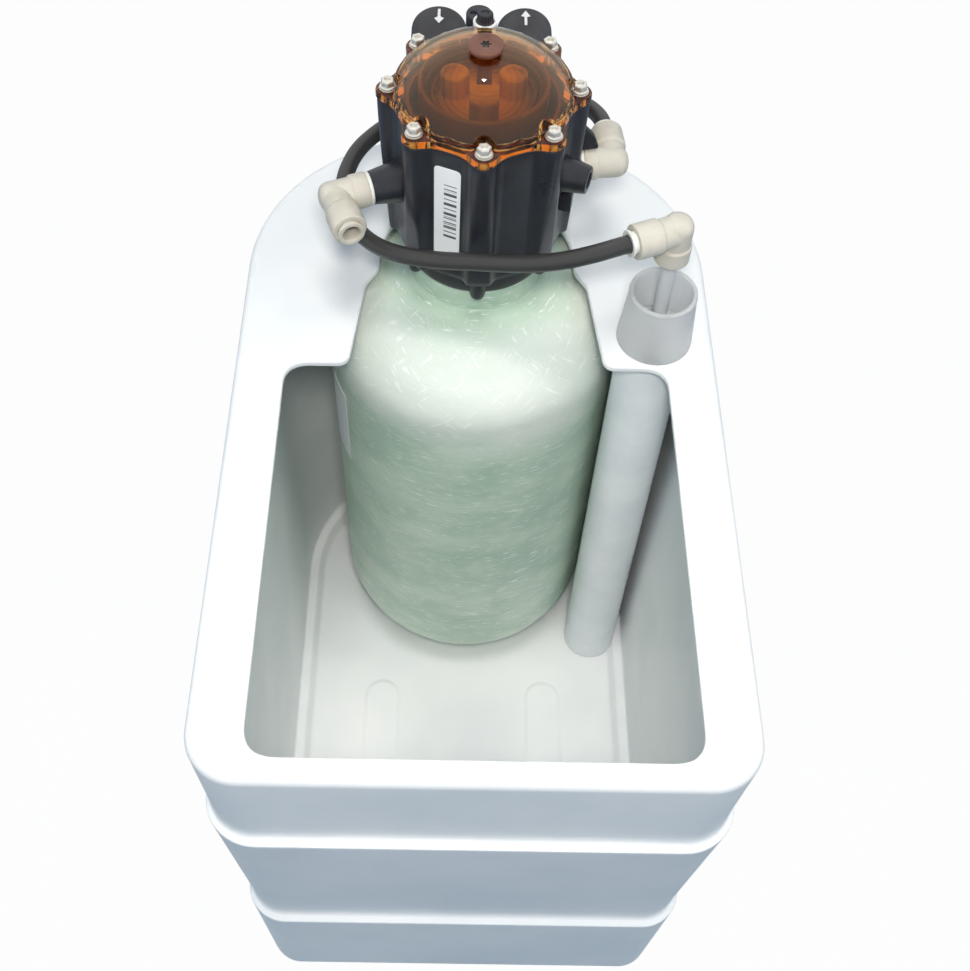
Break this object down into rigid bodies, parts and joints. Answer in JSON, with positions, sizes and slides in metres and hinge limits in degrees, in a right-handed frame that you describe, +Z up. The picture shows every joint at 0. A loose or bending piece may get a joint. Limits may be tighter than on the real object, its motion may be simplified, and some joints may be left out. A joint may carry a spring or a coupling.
{
  "type": "water softener",
  "caption": "Salt cabinet with a resin tank, a water-driven control valve under a clear dome, push-fit elbows, a brine hose and a brine well with a float.",
  "frame": {"origin": "middle of the foot, on the ground", "axes": "+X to the right seen from the salt opening, +Y to the pipe connections, +Z up"},
  "size_m": [0.275, 0.445, 0.532],
  "materials": {
    "cabinet_plastic": "fine moulded satin",
    "tank_shell": "glossy wound glass fibre",
    "resin": "fine beads",
    "white_plastic": "satin",
    "seal_rubber": "matt",
    "black_plastic": "satin glass-filled moulding",
    "amber_cover": "clear amber",
    "zinc_screw": "pale zinc",
    "steel_pin": "ground",
    "mechanism_plastic": "satin",
    "knob_plastic": "satin",
    "grey_fitting": "satin",
    "white_collet": "satin",
    "hose_black": "satin",
    "well_plastic": "satin",
    "cup_plastic": "cloudy",
    "red_ball": "smooth"
  },
  "bodies": {
    "base": {"cabinet": "cabinet_plastic", "resin_tank": "tank_shell", "resin_bed": "resin", "distributor_pipe": "white_plastic", "lower_basket": "white_plastic", "upper_basket": "white_plastic", "air_check": "white_plastic", "brine_riser": "white_plastic", "vent_washer": "white_plastic", "lock_rings": "white_plastic", "neck_seal": "seal_rubber", "cover_gasket": "seal_rubber", "sleeve_seals": "seal_rubber", "neck_ring": "black_plastic", "valve_body": "black_plastic", "rear_plug": "black_plastic", "inlet_sleeve": "black_plastic", "outlet_sleeve": "black_plastic", "dome_cover": "amber_cover", "cover_screws": "zinc_screw", "cover_washers": "zinc_screw", "idler_pin": "steel_pin", "turbine_pin": "steel_pin", "piston_rod": "steel_pin", "mechanism_plate": "mechanism_plastic", "port_elbow": "grey_fitting", "well_elbow": "grey_fitting", "brine_hose": "hose_black", "well_tube": "well_plastic", "well_foot": "well_plastic", "float_stops": "well_plastic", "well_collar": "cup_plastic"},
    "control_train": {"control_shaft": "mechanism_plastic", "control_gear": "mechanism_plastic", "control_disc": "mechanism_plastic", "start_knob": "knob_plastic"},
    "idler": {"idler_gear": "mechanism_plastic"},
    "turbine_wheel": {"turbine": "white_plastic"},
    "valve_piston": {"piston": "white_plastic"},
    "brine_float": {"float": "white_plastic"},
    "air_ball": {"check_ball": "red_ball"},
    "bleed_screw": {"vent_screw": "black_plastic"},
    "drain_fitting": {"drain_elbow": "grey_fitting"},
    "drain_release": {"drain_collet": "grey_fitting"},
    "port_release": {"port_collet": "white_collet"},
    "well_release": {"well_collet": "white_collet"}
  },
  "joints": [
    {"name": "control_turn", "type": "hinge", "parent": "base", "child": "control_train", "pos_m": [0, 0.1105, 0.5], "axis": [0, 0, 1], "continuous": true},
    {"name": "idler_turn", "type": "hinge", "parent": "base", "child": "idler", "pos_m": [0, 0.1345, 0.485], "axis": [0, 0, 1], "continuous": true},
    {"name": "turbine_turn", "type": "hinge", "parent": "base", "child": "turbine_wheel", "pos_m": [-0.01503, 0.12903, 0.485], "axis": [0, 0, 1], "continuous": true},
    {"name": "piston_slide", "type": "slide", "parent": "base", "child": "valve_piston", "axis": [0, 0, 1], "range_m": [0, 0.015]},
    {"name": "float_lift", "type": "slide", "parent": "base", "child": "brine_float", "axis": [0, 0, 1], "range_m": [0, 0.05]},
    {"name": "ball_lift", "type": "slide", "parent": "base", "child": "air_ball", "axis": [0, 0, 1], "range_m": [0, 0.006]},
    {"name": "bleed_turn", "type": "hinge", "parent": "base", "child": "bleed_screw", "pos_m": [0, 0.1425, 0.52], "axis": [0, 0, 1], "range_deg": [0, 360]},
    {"name": "drain_swivel", "type": "hinge", "parent": "base", "child": "drain_fitting", "pos_m": [-0.05983, 0.08777, 0.455], "axis": [-0.9348, -0.3551, 0], "range_deg": [0, 180]},
    {"name": "drain_push", "type": "slide", "parent": "drain_fitting", "child": "drain_release", "axis": [-0.3551, 0.9348, 0], "range_m": [0, 0.0015]},
    {"name": "port_push", "type": "slide", "parent": "base", "child": "port_release", "axis": [0.1045, -0.9945, 0], "range_m": [0, 0.0015]},
    {"name": "well_push", "type": "slide", "parent": "base", "child": "well_release", "axis": [0.9272, 0.3746, 0], "range_m": [0, 0.0015]}
  ],
  "couplings": [
    {"joint": "idler_turn", "follows": "control_turn", "ratio": -3},
    {"joint": "turbine_turn", "follows": "control_turn", "ratio": 5}
  ]
}
